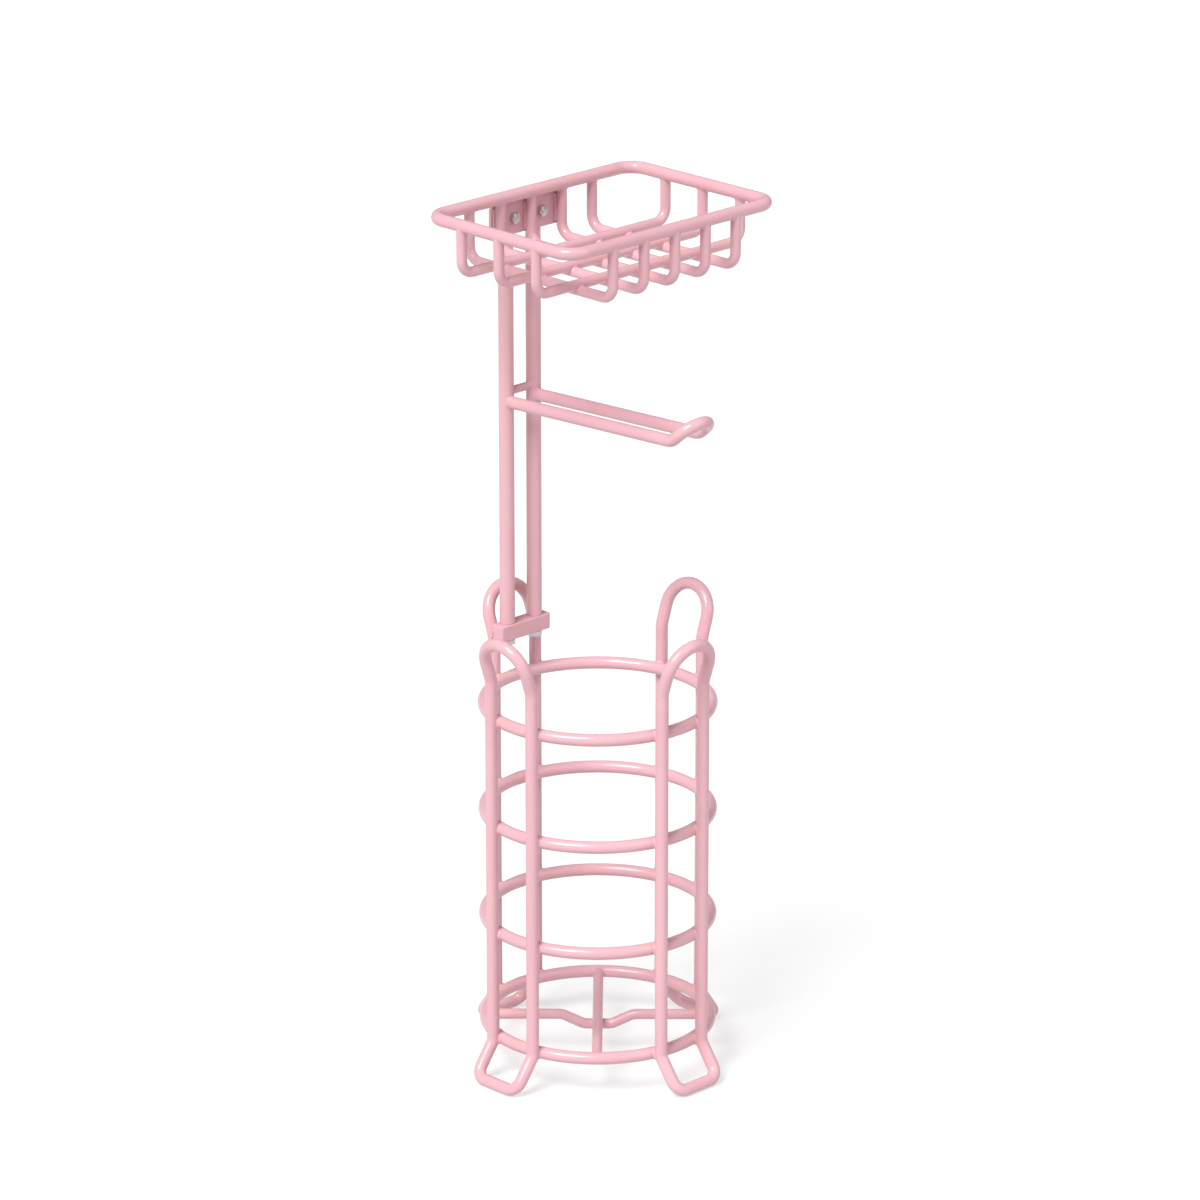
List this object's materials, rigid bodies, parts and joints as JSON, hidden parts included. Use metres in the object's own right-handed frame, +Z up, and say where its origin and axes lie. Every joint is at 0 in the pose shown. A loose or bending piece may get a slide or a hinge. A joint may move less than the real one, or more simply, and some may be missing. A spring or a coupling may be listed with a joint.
{
  "type": "toilet roll storage holder",
  "caption": "Free-standing pink wire stand with a round basket for spare toilet rolls, a hairpin roll arm on twin posts and a wire tray on top.",
  "frame": {"origin": "on the floor, on the basket's axis, at the middle of the footprint", "axes": "+Z up, the roll arm points to -Y, the posts stand on the +Y side, the tray's long side runs along X"},
  "size_m": [0.2142, 0.2142, 0.6415],
  "materials": {
    "pink_powder_coat": "satin powder coat",
    "zinc_fasteners": "zinc plated",
    "pink_end_caps": "moulded, satin"
  },
  "bodies": {
    "root": {"ring_bottom": "pink_powder_coat", "ring_lower": "pink_powder_coat", "ring_upper": "pink_powder_coat", "ring_top": "pink_powder_coat", "upright_front": "pink_powder_coat", "upright_right": "pink_powder_coat", "upright_back": "pink_powder_coat", "upright_left": "pink_powder_coat", "floor_wire_over": "pink_powder_coat", "floor_wire_under": "pink_powder_coat", "post_bracket": "pink_powder_coat", "post_left": "pink_powder_coat", "post_right": "pink_powder_coat", "arm_crossbar": "pink_powder_coat", "roll_arm": "pink_powder_coat", "tray_rim": "pink_powder_coat", "tray_long_wire_front": "pink_powder_coat", "tray_long_wire_middle": "pink_powder_coat", "tray_long_wire_back": "pink_powder_coat", "tray_cross_wire_1": "pink_powder_coat", "tray_cross_wire_2": "pink_powder_coat", "tray_cross_wire_3": "pink_powder_coat", "tray_cross_wire_4": "pink_powder_coat", "tray_cross_wire_5": "pink_powder_coat", "tray_mount_plate": "pink_powder_coat", "post_thread_plugs": "zinc_fasteners", "post_screws": "zinc_fasteners", "tray_bolts": "zinc_fasteners", "tray_nuts": "zinc_fasteners", "post_end_caps": "pink_end_caps"}
  },
  "joints": []
}
